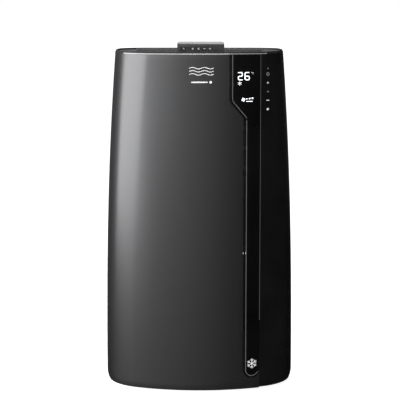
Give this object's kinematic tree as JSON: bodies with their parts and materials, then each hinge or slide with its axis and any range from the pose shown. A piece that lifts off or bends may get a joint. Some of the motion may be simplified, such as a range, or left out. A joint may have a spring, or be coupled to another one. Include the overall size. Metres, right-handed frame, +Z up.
{
  "type": "portable air conditioner",
  "caption": "Upright portable air conditioner on castors with a tapered rounded housing, top air flap, side display fascia and a docked handset.",
  "frame": {"origin": "on the floor, under the middle of the housing's bounding box", "axes": "+Z up, -Y the front with the display fascia, +X the side of the black key panel"},
  "size_m": [0.4498, 0.395, 0.8062],
  "materials": {
    "graphite_shell": "satin metallic graphite",
    "black_gloss": "high gloss",
    "display_window": "smoked, high gloss",
    "silver_trim": "satin silver",
    "grey_plastic": "fine texture",
    "deck_plastic": "satin",
    "vane_plastic": "satin",
    "handset_case": "satin",
    "key_rubber": "matte",
    "filter_mesh": "fine mesh",
    "pan_plastic": "moulded",
    "seal_rubber": "matte",
    "castor_plastic": "moulded",
    "castor_tread": "moulded",
    "zinc_steel": "zinc plated",
    "coil_fins": "bare",
    "fan_plastic": "moulded",
    "motor_steel": "bare",
    "compressor_paint": "black enamel",
    "copper": "bare copper",
    "circuit_board": "solder mask",
    "pump_plastic": "moulded"
  },
  "bodies": {
    "housing": {"front_panel": "graphite_shell", "right_panel": "black_gloss", "fascia_strip": "black_gloss", "display_glass": "display_window", "fascia_trim": "silver_trim", "rear_housing": "grey_plastic", "lower_grille": "grey_plastic", "exhaust_socket": "grey_plastic", "side_grips": "grey_plastic", "top_deck": "deck_plastic", "handset_dock": "deck_plastic", "outlet_frame": "vane_plastic", "base_pan": "pan_plastic", "condenser_scroll": "pan_plastic", "evaporator_scroll": "pan_plastic", "cord_gland": "seal_rubber", "compressor_mounts": "seal_rubber", "chassis_plate": "zinc_steel", "partition": "zinc_steel", "rear_screws": "zinc_steel", "control_box": "zinc_steel", "condenser_coil": "coil_fins", "evaporator_coil": "coil_fins", "condenser_motor": "motor_steel", "evaporator_motor": "motor_steel", "run_capacitor": "motor_steel", "compressor": "compressor_paint", "accumulator": "compressor_paint", "refrigerant_pipes": "copper", "display_board": "circuit_board", "touch_board": "circuit_board", "condensate_pump": "pump_plastic"},
    "castor_fork_front_left": {"castor_fork_front_left": "castor_plastic"},
    "castor_wheel_front_left": {"castor_wheel_front_left": "castor_tread"},
    "castor_fork_front_right": {"castor_fork_front_right": "castor_plastic"},
    "castor_wheel_front_right": {"castor_wheel_front_right": "castor_tread"},
    "castor_fork_rear_left": {"castor_fork_rear_left": "castor_plastic"},
    "castor_wheel_rear_left": {"castor_wheel_rear_left": "castor_tread"},
    "castor_fork_rear_right": {"castor_fork_rear_right": "castor_plastic"},
    "castor_wheel_rear_right": {"castor_wheel_rear_right": "castor_tread"},
    "outlet_flap": {"outlet_flap": "deck_plastic"},
    "vane_1": {"vane_1": "vane_plastic"},
    "vane_2": {"vane_2": "vane_plastic"},
    "vane_3": {"vane_3": "vane_plastic"},
    "vane_4": {"vane_4": "vane_plastic"},
    "vane_5": {"vane_5": "vane_plastic"},
    "vane_link": {"vane_link": "vane_plastic"},
    "cell_tray": {"cell_tray": "handset_case"},
    "drain_plug": {"drain_plug": "seal_rubber"},
    "condenser_fan": {"condenser_fan": "fan_plastic"},
    "evaporator_fan": {"evaporator_fan": "fan_plastic"},
    "power_key": {"power_key": "key_rubber"},
    "mode_key": {"mode_key": "key_rubber"},
    "fan_key": {"fan_key": "key_rubber"},
    "minus_key": {"minus_key": "key_rubber"},
    "plus_key": {"plus_key": "key_rubber"},
    "handset": {"handset_front": "handset_case", "handset_rear": "handset_case"},
    "filter_drawer": {"upper_grille": "grey_plastic", "dust_filter": "filter_mesh"}
  },
  "joints": [
    {"name": "castor_swivel_front_left", "type": "hinge", "parent": "housing", "child": "castor_fork_front_left", "pos_m": [-0.124, -0.1215, 0.06], "axis": [0, 0, 1], "continuous": true},
    {"name": "castor_roll_front_left", "type": "hinge", "parent": "castor_fork_front_left", "child": "castor_wheel_front_left", "pos_m": [-0.124, -0.1095, 0.02], "axis": [1, 0, 0], "continuous": true},
    {"name": "castor_swivel_front_right", "type": "hinge", "parent": "housing", "child": "castor_fork_front_right", "pos_m": [0.124, -0.1215, 0.06], "axis": [0, 0, 1], "continuous": true},
    {"name": "castor_roll_front_right", "type": "hinge", "parent": "castor_fork_front_right", "child": "castor_wheel_front_right", "pos_m": [0.124, -0.1095, 0.02], "axis": [1, 0, 0], "continuous": true},
    {"name": "castor_swivel_rear_left", "type": "hinge", "parent": "housing", "child": "castor_fork_rear_left", "pos_m": [-0.146, 0.1245, 0.06], "axis": [0, 0, 1], "continuous": true},
    {"name": "castor_roll_rear_left", "type": "hinge", "parent": "castor_fork_rear_left", "child": "castor_wheel_rear_left", "pos_m": [-0.146, 0.1365, 0.02], "axis": [1, 0, 0], "continuous": true},
    {"name": "castor_swivel_rear_right", "type": "hinge", "parent": "housing", "child": "castor_fork_rear_right", "pos_m": [0.146, 0.1245, 0.06], "axis": [0, 0, 1], "continuous": true},
    {"name": "castor_roll_rear_right", "type": "hinge", "parent": "castor_fork_rear_right", "child": "castor_wheel_rear_right", "pos_m": [0.146, 0.1365, 0.02], "axis": [1, 0, 0], "continuous": true},
    {"name": "condenser_fan_spin", "type": "hinge", "parent": "housing", "child": "condenser_fan", "pos_m": [0, 0.06, 0.1765], "axis": [0, 1, 0], "continuous": true},
    {"name": "evaporator_fan_spin", "type": "hinge", "parent": "housing", "child": "evaporator_fan", "pos_m": [0, 0.06, 0.5565], "axis": [0, 1, 0], "continuous": true},
    {"name": "flap_open", "type": "hinge", "parent": "housing", "child": "outlet_flap", "pos_m": [0, 0.1445, 0.7799], "axis": [-1, 0, 0], "range_deg": [0, 70]},
    {"name": "vane_swing_1", "type": "hinge", "parent": "housing", "child": "vane_1", "pos_m": [-0.1, 0.09, 0.753], "axis": [0, 1, 0], "range_deg": [-25, 25]},
    {"name": "vane_swing_2", "type": "hinge", "parent": "housing", "child": "vane_2", "pos_m": [-0.05, 0.09, 0.753], "axis": [0, 1, 0], "range_deg": [-25, 25]},
    {"name": "vane_swing_3", "type": "hinge", "parent": "housing", "child": "vane_3", "pos_m": [0, 0.09, 0.753], "axis": [0, 1, 0], "range_deg": [-25, 25]},
    {"name": "vane_swing_4", "type": "hinge", "parent": "housing", "child": "vane_4", "pos_m": [0.05, 0.09, 0.753], "axis": [0, 1, 0], "range_deg": [-25, 25]},
    {"name": "vane_swing_5", "type": "hinge", "parent": "housing", "child": "vane_5", "pos_m": [0.1, 0.09, 0.753], "axis": [0, 1, 0], "range_deg": [-25, 25]},
    {"name": "vane_link_slide", "type": "slide", "parent": "housing", "child": "vane_link", "axis": [1, 0, 0], "range_m": [-0.00436, 0.00436]},
    {"name": "handset_lift", "type": "slide", "parent": "housing", "child": "handset", "axis": [0, 0, 1], "range_m": [0, 0.06]},
    {"name": "power_key_press", "type": "slide", "parent": "handset", "child": "power_key", "axis": [0, 1, 0], "range_m": [0, 0.0008], "stiffness_N_per_m": 200, "springref_m": -0.0005},
    {"name": "mode_key_press", "type": "slide", "parent": "handset", "child": "mode_key", "axis": [0, 1, 0], "range_m": [0, 0.0008], "stiffness_N_per_m": 200, "springref_m": -0.0005},
    {"name": "fan_key_press", "type": "slide", "parent": "handset", "child": "fan_key", "axis": [0, 1, 0], "range_m": [0, 0.0008], "stiffness_N_per_m": 200, "springref_m": -0.0005},
    {"name": "minus_key_press", "type": "slide", "parent": "handset", "child": "minus_key", "axis": [0, 1, 0], "range_m": [0, 0.0008], "stiffness_N_per_m": 200, "springref_m": -0.0005},
    {"name": "plus_key_press", "type": "slide", "parent": "handset", "child": "plus_key", "axis": [0, 1, 0], "range_m": [0, 0.0008], "stiffness_N_per_m": 200, "springref_m": -0.0005},
    {"name": "cell_tray_pull", "type": "slide", "parent": "handset", "child": "cell_tray", "axis": [1, 0, 0], "range_m": [0, 0.034]},
    {"name": "filter_pull", "type": "slide", "parent": "housing", "child": "filter_drawer", "axis": [0, 1, 0], "range_m": [0, 0.05]},
    {"name": "drain_plug_pull", "type": "slide", "parent": "housing", "child": "drain_plug", "axis": [0, 1, 0], "range_m": [0, 0.03]}
  ],
  "couplings": [
    {"joint": "vane_swing_1", "follows": "vane_link_slide", "rad_per_m": -100},
    {"joint": "vane_swing_2", "follows": "vane_link_slide", "rad_per_m": -100},
    {"joint": "vane_swing_3", "follows": "vane_link_slide", "rad_per_m": -100},
    {"joint": "vane_swing_4", "follows": "vane_link_slide", "rad_per_m": -100},
    {"joint": "vane_swing_5", "follows": "vane_link_slide", "rad_per_m": -100}
  ]
}
